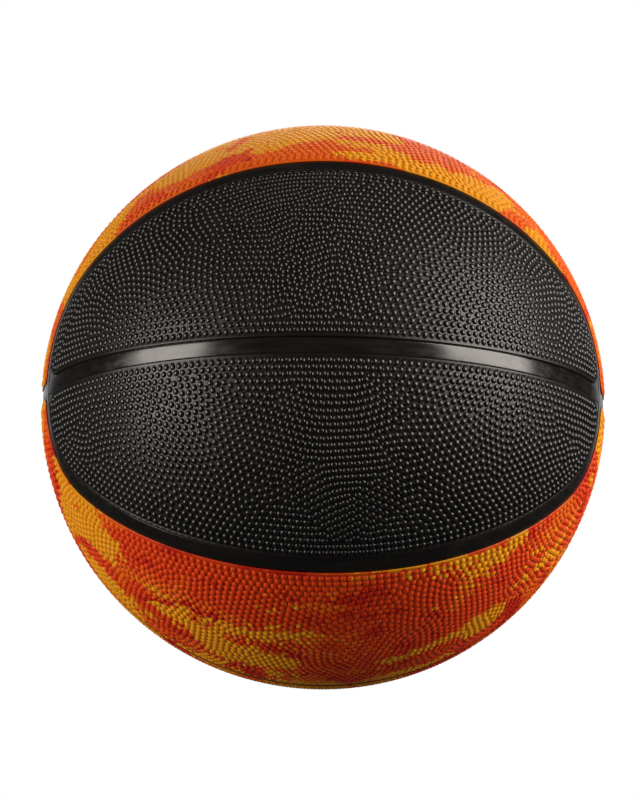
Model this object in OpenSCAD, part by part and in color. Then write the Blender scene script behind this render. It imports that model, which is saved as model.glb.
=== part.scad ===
// Inflated basketball, size 7, as the layers and the moulded cover pieces that it is built from.
// The origin is the ball's centre. X runs along the long axis of the ovals, and Z is square to the
// centre channel. The front oval looks along -Y. Every wall of a cover piece points at the centre.

/* [Ball] */
// Diameter over the pebble tips
ball_d = 240; // [200:1:260]
// Thickness of the cover under the pebble tips
cover_t = 1.7; // [1.5:0.1:3]
// Height of the pebbled field over the smooth land round it
field_rise = 0.45; // [0.2:0.05:0.7]

/* [Channels] */
// Width of every channel between its walls
channel_w = 6.8; // [4:0.1:9]
// Depth of the channel floor under the pebble tips
channel_depth = 1.2; // [0.8:0.05:1.3]
// Width of the smooth land between a channel and the pebbled field
land_w = 1.3; // [0.6:0.1:2.5]
// Angle from the centre channel's plane to the middle of an oval channel's long side
oval_half_angle = 44; // [38:0.5:48]
// Angle from the ball's middle plane to the tip of an oval channel
oval_tip_angle = 76; // [72:0.5:79]
// Corner radius of the oval panels at the oval tips
oval_corner_r = 9; // [4:0.5:12]
// Corner radius of the outer panels at the oval tips
tip_corner_r = 4; // [2:0.5:5]
// Corner radius of the outer panels where the girth and centre channels cross
cross_corner_r = 4; // [2:0.5:6]

/* [Inner layers] */
// Thickness of the rubber carcass under the cover
carcass_t = 0.7; // [0.5:0.1:1.5]
// Thickness of the wound nylon thread
winding_t = 0.3; // [0.2:0.1:1]
// Wall of the butyl bladder
bladder_t = 0.7; // [0.5:0.1:1.5]

/* [Valve] */
// Angle of the valve above the centre channel, on the rear of the ball
valve_angle = 8; // [7:0.5:20]
// Radius of the valve plug's shank
plug_r = 2.6; // [2.2:0.1:3.5]
// Radius of the plug's head, which fills the hole in the cover
plug_head_r = 3.2; // [2.8:0.1:4]
// Height of the plug's head
plug_head_h = 1.4; // [1:0.1:2]
// Depth of the head's face under the pebble tips
plug_recess = 0.7; // [0.3:0.1:1]
// Length of the plug from its face to its foot
plug_l = 17; // [14:0.5:20]
// Radius of the plug's locking bulb
bulb_r = 3.5; // [3:0.1:4]
// Length of the locking bulb
bulb_l = 4; // [2:0.5:5]
// Radius of the needle passage
needle_r = 1; // [0.8:0.05:1.2]
// Depth of the needle passage from the plug's face
needle_l = 11; // [8:0.5:12]
// Radius of the flared mouth of the needle passage
mouth_r = 1.5; // [1.4:0.1:2]
// Radius of the boot's stem round the plug
boot_r = 5.2; // [4.6:0.1:7]
// Radius of the boot's flange on the bladder
flange_r = 13; // [9:0.5:18]
// Thickness of the boot's flange at its rim
flange_t = 1.2; // [0.8:0.1:2]
// Rubber under the plug's foot inside the boot
boot_floor = 1.5; // [1:0.1:3]

/* [Hidden] */
$fn = 96;
// Facets of the large spheres that shape the small boot
fine_facets = 240;

black_rubber = [0.1, 0.1, 0.1];
channel_rubber = [0.05, 0.05, 0.05];
orange_rubber = [0.9, 0.42, 0.05];

// How far cutters run past what they cut
overrun = cover_t / 4;
// A corner's round is this much larger than the circle tangent to its sides, so that it crosses them
round_bite_share = 1.001;

// Radii of the layers' faces, from the pebble tips inwards
crest_r = ball_d / 2;
land_r = crest_r - field_rise;
floor_r = crest_r - channel_depth;
cover_r = crest_r - cover_t;
thread_r = cover_r - carcass_t;
rubber_r = thread_r - winding_t;
air_r = rubber_r - bladder_t;
// The pebbled field's block is rooted at this radius, inside the land's block
root_r = (land_r + cover_r) / 2;
// Half the side of a block that holds the whole ball
reach = ball_d;

// Angles at the ball's centre
function arc_angle(length) = length / crest_r * 180 / PI;
half_channel = arc_angle(channel_w / 2);
land_angle = arc_angle(land_w);
oval_corner = arc_angle(oval_corner_r);
tip_corner = arc_angle(tip_corner_r);
cross_corner = arc_angle(cross_corner_r);

// Vectors and the point where two circles on the ball meet
function unit(v) = v / norm(v);
function on_y_plane(x_angle) = [sin(x_angle), -cos(x_angle), 0];
function meeting(axis_a, angle_a, axis_b, angle_b, side) =
    let (d = axis_a * axis_b,
        a = (cos(angle_a) - cos(angle_b) * d) / (1 - d * d),
        b = (cos(angle_b) - cos(angle_a) * d) / (1 - d * d),
        rest = 1 - a * cos(angle_a) - b * cos(angle_b),
        c = side * sqrt(rest) / sqrt(1 - d * d))
    a * axis_a + b * axis_b + c * cross(axis_a, axis_b);
// The point of a circle about an axis that lies nearest to another point
function foot(axis, angle, point) =
    cos(angle) * axis + sin(angle) * unit(point - axis * (point * axis));

// The oval's tip is an arc tangent to both long sides. Its middle lies where the distance to a side
// plus the distance to the middle plane makes up the tip's angle.
function tip_radius(middle) = asin(cos(middle) * sin(oval_half_angle));
function tip_middle(low, high, steps) =
    let (m = (low + high) / 2)
    steps == 0 ? m
    : m + tip_radius(m) > oval_tip_angle ? tip_middle(low, m, steps - 1)
    : tip_middle(m, high, steps - 1);
oval_middle = tip_middle(0, oval_tip_angle, 40);
oval_radius = tip_radius(oval_middle);
// Normals of the planes of the oval's long sides, pointing into the oval
upper_normal = [0, -sin(oval_half_angle), -cos(oval_half_angle)];
lower_normal = [0, -sin(oval_half_angle), cos(oval_half_angle)];
// The point where a long side, moved inwards by an inset, runs into the tip's arc
function side_end(inset) =
    let (middle = on_y_plane(oval_middle), away = unit(middle * (middle * upper_normal) - upper_normal))
    cos(oval_radius - inset) * middle + sin(oval_radius - inset) * away;
function end_angle(inset) = let (p = side_end(inset)) atan2(p[0], -p[1]);
// The tip's arc for an inset. The two long sides end in it with a hair's step, so that no edge is lost.
function tip_arc(inset) = (oval_radius - inset) * round_bite_share;

// Turns its children's +Z onto a direction
module towards(direction) {
    rotate([0, acos(direction[2] / norm(direction)), atan2(direction[1], direction[0])])
        children();
}

// Everything within an angle of a direction, seen from the ball's centre
module cap(direction, angle) {
    wide = angle > 45;
    side = wide ? [reach, reach / tan(angle)] : [reach * tan(angle), reach];
    towards(direction)
        rotate_extrude()
            polygon(wide ? [[0, 0], side, [reach, reach], [0, reach]] : [[0, 0], side, [0, reach]]);
}

// Everything on one side of a plane through the centre
module half_space(direction) {
    towards(direction)
        translate([-reach, -reach, 0])
            cube([2 * reach, 2 * reach, reach]);
}

// A hollow ball
module layer(outer_r, inner_r) {
    difference() {
        sphere(outer_r);
        sphere(inner_r);
    }
}

// One end of the front oval, beyond the point where its long sides run into the tip's arc
module oval_end(outer_r, inner_r, inset, side) {
    a = end_angle(inset);
    intersection() {
        layer(outer_r, inner_r);
        half_space([side * cos(a), sin(a), 0]);
        cap([side * sin(oval_middle), -cos(oval_middle), 0], tip_arc(inset));
    }
}

// The whole front oval, moved inwards by an inset, or outwards where the inset is negative
module oval(outer_r, inner_r, inset) {
    a = end_angle(inset);
    union() {
        intersection() {
            layer(outer_r, inner_r);
            half_space([-cos(a), -sin(a), 0]);
            half_space([cos(a), -sin(a), 0]);
            cap(upper_normal, 90 - inset);
            cap(lower_normal, 90 - inset);
        }
        oval_end(outer_r, inner_r, inset, 1);
        oval_end(outer_r, inner_r, inset, -1);
    }
}

// What a rounded corner takes off a panel, where two circles on the ball meet. The round is tangent to
// both. It lies inside the first circle, and inside the second where inner is 1, or outside where it is -1.
module corner_cutter(outer_r, inner_r, axis_a, angle_a, axis_b, angle_b, inner, radius) {
    middle = meeting(axis_a, angle_a - radius, axis_b, angle_b - inner * radius, 1);
    corner = meeting(axis_a, angle_a, axis_b, angle_b, 1);
    chord = unit(cross(foot(axis_a, angle_a, middle), foot(axis_b, angle_b, middle)));
    difference() {
        intersection() {
            layer(outer_r + overrun, inner_r - overrun);
            half_space(chord * sign(chord * corner));
            cap(corner, 2 * radius);
        }
        cap(middle, radius * round_bite_share);
    }
}

// The corner of the oval panel at the oval's tip
module oval_corner_cutter(outer_r, inner_r, inset, radius) {
    corner_cutter(outer_r, inner_r, [0, 0, 1], 90 - inset, on_y_plane(oval_middle), tip_arc(inset), 1, radius);
}

// The corner of the outer panel at the oval's tip
module tip_corner_cutter(outer_r, inner_r, inset, radius) {
    corner_cutter(outer_r, inner_r, [0, 0, 1], 90 - inset, on_y_plane(oval_middle), tip_arc(-inset), -1, radius);
}

// The corner of the outer panel where the girth and centre channels cross
module cross_corner_cutter(outer_r, inner_r, inset, radius) {
    corner_cutter(outer_r, inner_r, [0, 0, 1], 90 - inset, [0, -1, 0], 90 - inset, 1, radius);
}

// Its children and their mirror images to the left
module both_ends() {
    children();
    mirror([1, 0, 0])
        children();
}

// Half of the front oval, above the centre channel, as one block
module oval_block(outer_r, inner_r, inset, corner) {
    difference() {
        intersection() {
            oval(outer_r, inner_r, inset);
            cap([0, 0, 1], 90 - inset);
        }
        both_ends()
            oval_corner_cutter(outer_r, inner_r, inset, corner);
    }
}

// The panel between the front oval, the girth channel and the centre channel, as one block
module outer_block(outer_r, inner_r, inset, tip, crossing) {
    difference() {
        intersection() {
            layer(outer_r, inner_r);
            cap([0, 0, 1], 90 - inset);
            cap([0, -1, 0], 90 - inset);
        }
        oval(outer_r + overrun, inner_r - overrun, -inset);
        both_ends()
            tip_corner_cutter(outer_r, inner_r, inset, tip);
        both_ends()
            cross_corner_cutter(outer_r, inner_r, inset, crossing);
    }
}

// A front upper oval panel: the land's block, with the pebbled field's block standing on it
module oval_panel() {
    oval_block(land_r, cover_r, half_channel, oval_corner);
    oval_block(crest_r, root_r, half_channel + land_angle, oval_corner - land_angle);
}

// A front upper outer panel, in the same two steps
module outer_panel() {
    outer_block(land_r, cover_r, half_channel, tip_corner, cross_corner);
    outer_block(crest_r, root_r, half_channel + land_angle, tip_corner - land_angle, cross_corner - land_angle);
}

// The room of all the front panels at the channels' level
module front_panel_room() {
    for (flip = [0, 1])
        mirror([0, 0, flip]) {
            oval_block(floor_r + overrun, cover_r - overrun, half_channel, oval_corner);
            outer_block(floor_r + overrun, cover_r - overrun, half_channel, tip_corner, cross_corner);
        }
}

// Along the valve's axis, with the ball's centre at the bottom
module at_valve() {
    towards([0, cos(valve_angle), sin(valve_angle)])
        children();
}

module valve_hole(radius) {
    at_valve()
        cylinder(h = crest_r + overrun, r = radius);
}

face_r = crest_r - plug_recess;
foot_r = face_r - plug_l;
stem_r = foot_r - boot_floor;
// Where the boot's flange meets the bladder at its rim, along the valve's axis
flange_rim = sqrt(air_r * air_r - flange_r * flange_r);

module bladder() {
    color("dimgray")
        difference() {
            layer(rubber_r, air_r);
            valve_hole(boot_r);
        }
}

module thread_winding() {
    color("whitesmoke")
        difference() {
            layer(thread_r, rubber_r);
            valve_hole(boot_r);
        }
}

module carcass() {
    color("darkslategray")
        difference() {
            layer(cover_r, thread_r);
            valve_hole(boot_r);
        }
}

// The plug's outline, as a solid of revolution on the valve's axis
module plug_solid() {
    rotate_extrude()
        polygon([[0, foot_r], [plug_r, foot_r], [bulb_r, foot_r + (bulb_r - plug_r)],
            [bulb_r, foot_r + bulb_l - (bulb_r - plug_r)], [plug_r, foot_r + bulb_l],
            [plug_r, face_r - plug_head_h], [plug_head_r, face_r - plug_head_h],
            [plug_head_r, face_r], [0, face_r]]);
}

module valve_plug() {
    color("gray")
        at_valve()
            difference() {
                plug_solid();
                translate([0, 0, face_r - needle_l])
                    cylinder(h = needle_l + overrun, r = needle_r);
                translate([0, 0, face_r - (mouth_r - needle_r)])
                    cylinder(h = mouth_r - needle_r, r1 = needle_r, r2 = mouth_r);
            }
}

// The boot's stem round the plug, up through the layers, and its flange under the bladder's wall
module valve_boot() {
    color("black")
        difference() {
            union() {
                intersection() {
                    sphere(air_r, $fn = fine_facets);
                    at_valve()
                        rotate_extrude()
                            polygon([[0, stem_r], [boot_r, stem_r], [boot_r, flange_rim - 2 * flange_t],
                                [flange_r, flange_rim - flange_t], [flange_r, crest_r], [0, crest_r]]);
                }
                intersection() {
                    sphere(cover_r, $fn = fine_facets);
                    at_valve()
                        translate([0, 0, stem_r])
                            cylinder(h = crest_r - stem_r, r = boot_r);
                }
            }
            at_valve()
                plug_solid();
        }
}

module front_upper_oval_panel() {
    color(black_rubber)
        oval_panel();
}

module front_lower_oval_panel() {
    color(black_rubber)
        mirror([0, 0, 1])
            oval_panel();
}

module rear_upper_oval_panel() {
    color(black_rubber)
        difference() {
            mirror([0, 1, 0])
                oval_panel();
            valve_hole(plug_head_r);
        }
}

module rear_lower_oval_panel() {
    color(black_rubber)
        mirror([0, 1, 0])
            mirror([0, 0, 1])
                oval_panel();
}

module front_upper_outer_panel() {
    color(orange_rubber)
        outer_panel();
}

module front_lower_outer_panel() {
    color(orange_rubber)
        mirror([0, 0, 1])
            outer_panel();
}

module rear_upper_outer_panel() {
    color(orange_rubber)
        mirror([0, 1, 0])
            outer_panel();
}

module rear_lower_outer_panel() {
    color(orange_rubber)
        mirror([0, 1, 0])
            mirror([0, 0, 1])
                outer_panel();
}

// How far the channels that cross at a junction reach into each other's run
girth_reach = half_channel + cross_corner + land_angle;
outward_reach = half_channel + tip_corner + land_angle;
inward_reach = half_channel + oval_corner + land_angle;

// The channels' rubber, all over the ball
module floor_layer() {
    layer(floor_r, cover_r);
}

// Everything off the centre channel's band
module off_centre_band() {
    for (flip = [0, 1])
        mirror([0, 0, flip])
            cap([0, 0, 1], 90 - half_channel);
}

// The quarter of the girth channel beside the front upper outer panel
module girth_quarter() {
    difference() {
        intersection() {
            floor_layer();
            half_space([0, -1, 0]);
            half_space([0, 0, 1]);
        }
        cap([0, -1, 0], 90 - girth_reach);
        outer_block(floor_r + overrun, cover_r - overrun, half_channel, tip_corner, cross_corner);
    }
}

module girth_channel() {
    color(channel_rubber)
        for (front = [0, 1], lower = [0, 1])
            mirror([0, front, 0])
                mirror([0, 0, lower])
                    girth_quarter();
}

// The front oval's channel, with the rounded webs where the centre channel crosses it
module oval_channel() {
    difference() {
        oval(floor_r, cover_r, -outward_reach);
        oval(floor_r + overrun, cover_r - overrun, inward_reach);
        front_panel_room();
    }
}

// The centre channel's run inside the front oval
module centre_channel() {
    difference() {
        oval(floor_r, cover_r, inward_reach);
        off_centre_band();
    }
}

// The centre channel's short run between the front oval's right tip and the girth channel
module link_channel() {
    difference() {
        intersection() {
            floor_layer();
            half_space([1, 0, 0]);
            cap([0, -1, 0], 90 - girth_reach);
        }
        oval(floor_r + overrun, cover_r - overrun, -outward_reach);
        off_centre_band();
    }
}

module front_oval_channel() {
    color(channel_rubber)
        oval_channel();
}

module rear_oval_channel() {
    color(channel_rubber)
        mirror([0, 1, 0])
            oval_channel();
}

module front_centre_channel() {
    color(channel_rubber)
        centre_channel();
}

module rear_centre_channel() {
    color(channel_rubber)
        mirror([0, 1, 0])
            centre_channel();
}

module front_right_link_channel() {
    color(channel_rubber)
        link_channel();
}

module front_left_link_channel() {
    color(channel_rubber)
        mirror([1, 0, 0])
            link_channel();
}

module rear_right_link_channel() {
    color(channel_rubber)
        mirror([0, 1, 0])
            link_channel();
}

module rear_left_link_channel() {
    color(channel_rubber)
        mirror([1, 0, 0])
            mirror([0, 1, 0])
                link_channel();
}

bladder();
valve_boot();
valve_plug();
thread_winding();
carcass();
front_upper_oval_panel();
front_lower_oval_panel();
rear_upper_oval_panel();
rear_lower_oval_panel();
front_upper_outer_panel();
front_lower_outer_panel();
rear_upper_outer_panel();
rear_lower_outer_panel();
girth_channel();
front_oval_channel();
rear_oval_channel();
front_centre_channel();
rear_centre_channel();
front_left_link_channel();
front_right_link_channel();
rear_left_link_channel();
rear_right_link_channel();
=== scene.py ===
"""Looks of an inflated basketball: pebbled cover panels, smooth channels, the valve and a plain studio."""

import logging
import math
from dataclasses import dataclass, field
from enum import Enum
from typing import Optional, Sequence, Union

import bpy
import numpy as np
from mathutils import Matrix, Vector
from mathutils.geometry import delaunay_2d_cdt


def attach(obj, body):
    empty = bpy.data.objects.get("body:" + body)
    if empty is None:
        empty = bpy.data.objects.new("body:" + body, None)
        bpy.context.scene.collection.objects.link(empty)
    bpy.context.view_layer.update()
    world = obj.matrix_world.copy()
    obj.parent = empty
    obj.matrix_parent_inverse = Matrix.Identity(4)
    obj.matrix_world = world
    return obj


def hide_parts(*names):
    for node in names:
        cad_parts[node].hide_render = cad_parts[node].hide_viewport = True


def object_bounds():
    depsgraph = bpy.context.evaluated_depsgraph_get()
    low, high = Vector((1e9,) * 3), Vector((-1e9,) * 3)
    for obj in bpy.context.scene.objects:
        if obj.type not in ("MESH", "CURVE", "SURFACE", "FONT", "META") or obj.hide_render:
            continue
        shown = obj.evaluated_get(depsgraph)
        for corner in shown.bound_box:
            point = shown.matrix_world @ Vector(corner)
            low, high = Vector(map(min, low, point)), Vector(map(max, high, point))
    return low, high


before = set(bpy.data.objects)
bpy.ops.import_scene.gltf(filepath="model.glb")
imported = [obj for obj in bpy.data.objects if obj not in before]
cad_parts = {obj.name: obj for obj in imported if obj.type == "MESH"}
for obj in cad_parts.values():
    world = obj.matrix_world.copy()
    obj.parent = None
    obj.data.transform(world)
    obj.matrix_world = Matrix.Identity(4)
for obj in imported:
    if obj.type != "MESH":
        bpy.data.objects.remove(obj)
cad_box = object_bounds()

log = logging.getLogger("basketball")

MM = 0.001
NO_LENGTH = 1e-9
Vec = np.ndarray
Colour = tuple[float, float, float]


def unit(v: Vec) -> Vec:
    """Scales vectors to length one."""
    return v / np.linalg.norm(v, axis=-1, keepdims=True)


def direction(lat: float, lon: float) -> Vec:
    """A direction from the ball's centre.

    Args:
        lat: Angle in degrees along the ovals, from the middle towards +X.
        lon: Angle in degrees about the X axis, from the front towards the top.

    Returns:
        A unit vector.
    """
    a, b = math.radians(lat), math.radians(lon)
    return np.array([math.sin(a), -math.cos(a) * math.cos(b), math.cos(a) * math.sin(b)])


def meeting(axis_a: Vec, angle_a: float, axis_b: Vec, angle_b: float) -> Vec:
    """The point where two circles on the ball meet, on the side of axis_a x axis_b.

    Args:
        axis_a: Axis of the first circle.
        angle_a: Its angle about that axis, in radians.
        axis_b: Axis of the second circle.
        angle_b: Its angle about that axis, in radians.

    Returns:
        A unit vector.
    """
    d = float(axis_a @ axis_b)
    whole = 1 - d * d
    a = (math.cos(angle_a) - math.cos(angle_b) * d) / whole
    b = (math.cos(angle_b) - math.cos(angle_a) * d) / whole
    rest = max(1 - a * math.cos(angle_a) - b * math.cos(angle_b), 0)
    return a * axis_a + b * axis_b + math.sqrt(rest / whole) * np.cross(axis_a, axis_b)


def linear(step: int) -> float:
    """One part of a colour as the linear value that a shader takes.

    Args:
        step: The part, from 0 to 255.

    Returns:
        A value from 0 to 1.
    """
    share = step / 255
    return share / 12.92 if share <= 0.04045 else ((share + 0.055) / 1.055) ** 2.4


def srgb(red: int, green: int, blue: int) -> Colour:
    """A colour whose parts are given from 0 to 255."""
    return linear(red), linear(green), linear(blue)


@dataclass(frozen=True)
class Arc:
    """A circle on the ball, at an angle about an axis."""

    axis: Vec
    angle: float

    def foot(self, point: Vec) -> Vec:
        """The circle's point that lies nearest to another point."""
        side = unit(point - self.axis * float(point @ self.axis))
        return math.cos(self.angle) * self.axis + math.sin(self.angle) * side

    def sweep(self, start: Vec, end: Vec, count: int) -> Vec:
        """Points along the circle, the short way.

        Args:
            start: The first point.
            end: The point after the last.
            count: How many points to give.

        Returns:
            An array of unit vectors.
        """
        first = unit(start - self.axis * float(start @ self.axis))
        second = np.cross(self.axis, first)
        turn = math.atan2(float(end @ second), float(end @ first))
        t = np.linspace(0, turn, count, endpoint=False)[:, None]
        around = np.cos(t) * first + np.sin(t) * second
        return math.cos(self.angle) * self.axis + math.sin(self.angle) * around


@dataclass(frozen=True)
class Ball:
    """Sizes of the cover, in metres, and of its layout, in degrees."""

    crest: float = 120 * MM
    rise: float = 0.45 * MM
    cover: float = 1.7 * MM
    channel: float = 6.8 * MM
    channel_depth: float = 1.2 * MM
    land: float = 1.3 * MM
    half_opening: float = 44.0
    tip: float = 76.0
    oval_corner: float = 9 * MM
    tip_corner: float = 4 * MM
    cross_corner: float = 4 * MM
    valve_angle: float = 8.0
    plug_head: float = 3.2 * MM
    halvings: int = 60

    @property
    def land_r(self) -> float:
        """Radius of the smooth land, on which the pebbles stand."""
        return self.crest - self.rise

    @property
    def root_r(self) -> float:
        """Radius of the cover's inner face."""
        return self.crest - self.cover

    @property
    def half_channel(self) -> float:
        """Angle of half a channel's width."""
        return self.channel / 2 / self.crest

    def angle(self, length: float) -> float:
        """The angle of a length along the cover."""
        return length / self.crest

    @property
    def side_normal(self) -> Vec:
        """Normal of the upper long side's plane, pointing into the front oval."""
        a = math.radians(self.half_opening)
        return np.array([0, -math.sin(a), -math.cos(a)])

    @property
    def tip_middle(self) -> Vec:
        """Middle of the right tip's arc, which is tangent to both long sides.

        Returns:
            A unit vector, found by halving.
        """
        tip, opening = math.radians(self.tip), math.sin(math.radians(self.half_opening))
        low, high = 0.0, tip
        for _ in range(self.halvings):
            middle = (low + high) / 2
            if middle + math.asin(math.cos(middle) * opening) > tip:
                high = middle
            else:
                low = middle
        return np.array([math.sin(middle), -math.cos(middle), 0])

    @property
    def tip_radius(self) -> float:
        """Angle of the tip's arc, at the middle of the channel."""
        return math.asin(float(self.tip_middle @ self.side_normal))


# Directions, and factors that carry a place to its mirror image.
TOP = np.array([0.0, 0.0, 1.0])
FRONT = np.array([0.0, -1.0, 0.0])
TO_LEFT = np.array([-1.0, 1.0, 1.0])
TO_LOWER = np.array([1.0, 1.0, -1.0])

# Directions off every middle, from which rings and flattened ground take their axes.
SLANTED = TOP + FRONT * 0.3
ASKEW = np.array([0.3, 0.2, 1.0])


def closeness(points: Vec) -> Vec:
    """How close each point lies to each other one.

    Args:
        points: Directions.

    Returns:
        Cosines of the angles between them, with -1 between a point and itself.
    """
    near = points @ points.T
    np.fill_diagonal(near, -1)
    return near


@dataclass(frozen=True)
class Outline:
    """The edge of a cover panel at the front and above the centre channel."""

    ball: Ball = field(default_factory=Ball)
    samples: int = 200
    fewest: int = 4
    least_corner: float = 1e-5

    def arcs(self, inset: float) -> list[tuple[Arc, Vec]]:
        """The edge's arcs, each with the point where it starts.

        Args:
            inset: Angle from the middle lines of the channels to the edge.

        Returns:
            Arcs in order round the panel.
        """
        raise NotImplementedError

    def depth(self, points: Vec) -> Vec:
        """How far points lie inside the panel's wall, as angles."""
        raise NotImplementedError

    def corner(self, radius: float, inset: float) -> float:
        """Angle of a rounded corner at an inset. It never vanishes, so all loops have as many points."""
        return max(self.ball.angle(radius) - (inset - self.ball.half_channel), self.least_corner)

    def counts(self, step: float) -> list[int]:
        """How many points each arc gets.

        Args:
            step: The greatest angle between two points at the wall.

        Returns:
            A number for each arc.
        """
        arcs = self.arcs(self.ball.half_channel)
        result = []
        for n, (arc, start) in enumerate(arcs):
            dense = arc.sweep(start, arcs[(n + 1) % len(arcs)][1], self.samples)
            travel = float(np.linalg.norm(np.diff(dense, axis=0), axis=1).sum())
            length = self.samples / (self.samples - 1) * travel
            result.append(max(self.fewest, math.ceil(length / step)))
        return result

    def loop(self, inset: float, counts: Sequence[int]) -> Vec:
        """The closed edge at an inset.

        Args:
            inset: Angle from the middle lines of the channels.
            counts: How many points each arc gets.

        Returns:
            An array of unit vectors.
        """
        arcs = self.arcs(inset)
        starts = [start for _, start in arcs]
        return np.concatenate([
            arc.sweep(start, end, count)
            for (arc, start), end, count in zip(arcs, starts[1:] + starts[:1], counts)
        ])

    def side_end(self, inset: float) -> Vec:
        """Where the right end of the oval's upper long side runs into the tip's arc.

        Args:
            inset: Angle from the channel's middle line, positive inside the oval.

        Returns:
            A unit vector.
        """
        middle, normal = self.ball.tip_middle, self.ball.side_normal
        away = unit(middle * float(middle @ normal) - normal)
        reach = self.ball.tip_radius - inset
        return math.cos(reach) * middle + math.sin(reach) * away

    def from_oval(self, points: Vec) -> Vec:
        """How far points lie from the oval channel's middle line.

        Args:
            points: Directions.

        Returns:
            Angles, positive inside the oval.
        """
        middle, normal = self.ball.tip_middle, self.ball.side_normal
        right = points.copy()
        right[:, 0] = np.abs(right[:, 0])
        past = np.cross(middle, normal)
        past *= -np.sign(past @ FRONT)
        at_side = np.arcsin(np.clip(right @ normal, -1, 1))
        at_tip = self.ball.tip_radius - np.arccos(np.clip(right @ middle, -1, 1))
        return np.where(right @ past > 0, at_tip, at_side)

    @staticmethod
    def rounded(first: Vec, second: Vec, radius: float) -> Vec:
        """The lesser of two depths, with the corner between them rounded to a radius."""
        near = (first < radius) & (second < radius)
        return np.where(near, radius - np.hypot(radius - first, radius - second), np.minimum(first, second))


@dataclass(frozen=True)
class OvalOutline(Outline):
    """The upper half of the front oval."""

    def arcs(self, inset: float) -> list[tuple[Arc, Vec]]:
        """The edge's arcs: centre channel, right corner and tip, long side, left tip and corner.

        Args:
            inset: Angle from the middle lines of the channels to the edge.

        Returns:
            Arcs, each with the point where it starts.
        """
        ball = self.ball
        corner = self.corner(ball.oval_corner, inset)
        line = Arc(TOP, math.pi / 2 - inset)
        tip = Arc(ball.tip_middle, ball.tip_radius - inset)
        middle = meeting(line.axis, line.angle - corner, tip.axis, tip.angle - corner)
        side = Arc(ball.side_normal, math.pi / 2 - inset)
        end = self.side_end(inset)
        left_tip = Arc(tip.axis * TO_LEFT, tip.angle)
        return [
            (line, line.foot(middle * TO_LEFT)),
            (Arc(middle, corner), line.foot(middle)),
            (tip, tip.foot(middle)),
            (side, end),
            (left_tip, end * TO_LEFT),
            (Arc(middle * TO_LEFT, corner), left_tip.foot(middle * TO_LEFT)),
        ]

    def depth(self, points: Vec) -> Vec:
        """How far points lie inside the panel's wall.

        Args:
            points: Directions.

        Returns:
            Angles, negative outside the wall.
        """
        half = self.ball.half_channel
        line = np.arcsin(np.clip(points[:, 2], -1, 1)) - half
        return self.rounded(line, self.from_oval(points) - half, self.ball.angle(self.ball.oval_corner))


@dataclass(frozen=True)
class OuterOutline(Outline):
    """The panel between the front oval, the girth channel and the centre channel."""

    def arcs(self, inset: float) -> list[tuple[Arc, Vec]]:
        """The edge's arcs, from the right tip corner round by the girth channel and back along the oval.

        Args:
            inset: Angle from the middle lines of the channels to the edge.

        Returns:
            Arcs, each with the point where it starts.
        """
        ball = self.ball
        crossing = self.corner(ball.cross_corner, inset)
        corner = self.corner(ball.tip_corner, inset)
        line = Arc(TOP, math.pi / 2 - inset)
        girth = Arc(FRONT, math.pi / 2 - inset)
        tip = Arc(ball.tip_middle, ball.tip_radius + inset)
        side = Arc(ball.side_normal, math.pi / 2 + inset)
        cross_middle = meeting(TOP, line.angle - crossing, FRONT, girth.angle - crossing)
        tip_middle = meeting(TOP, line.angle - corner, tip.axis, tip.angle + corner)
        left_tip = Arc(tip.axis * TO_LEFT, tip.angle)
        end = self.side_end(-inset)
        return [
            (line, line.foot(tip_middle)),
            (Arc(cross_middle, crossing), line.foot(cross_middle)),
            (girth, girth.foot(cross_middle)),
            (Arc(cross_middle * TO_LEFT, crossing), girth.foot(cross_middle * TO_LEFT)),
            (line, line.foot(cross_middle * TO_LEFT)),
            (Arc(tip_middle * TO_LEFT, corner), line.foot(tip_middle * TO_LEFT)),
            (left_tip, left_tip.foot(tip_middle * TO_LEFT)),
            (side, end * TO_LEFT),
            (tip, end),
            (Arc(tip_middle, corner), tip.foot(tip_middle)),
        ]

    def depth(self, points: Vec) -> Vec:
        """How far points lie inside the panel's wall.

        Args:
            points: Directions.

        Returns:
            Angles, negative outside the wall.
        """
        half = self.ball.half_channel
        line = np.arcsin(np.clip(points[:, 2], -1, 1)) - half
        girth = np.arcsin(np.clip(-points[:, 1], -1, 1)) - half
        oval = -self.from_oval(points) - half
        return np.minimum(
            self.rounded(line, girth, self.ball.angle(self.ball.cross_corner)),
            self.rounded(line, oval, self.ball.angle(self.ball.tip_corner)),
        )


@dataclass(frozen=True)
class Fan:
    """Rings of pebbles about one middle. The fan with the most reach at a place owns it."""

    lat: float
    lon: float
    reach: float

    @property
    def middle(self) -> Vec:
        """Direction of the rings' middle."""
        return direction(self.lat, self.lon)


@dataclass(frozen=True)
class Bare:
    """A round place that stays free of pebbles, as a direction and an angle round it."""

    middle: Vec
    reach: float

    def spares(self, points: Vec, margin: float) -> Vec:
        """Which points lie outside it by more than a margin."""
        return np.arccos(np.clip(points @ self.middle, -1, 1)) > self.reach + margin


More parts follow.
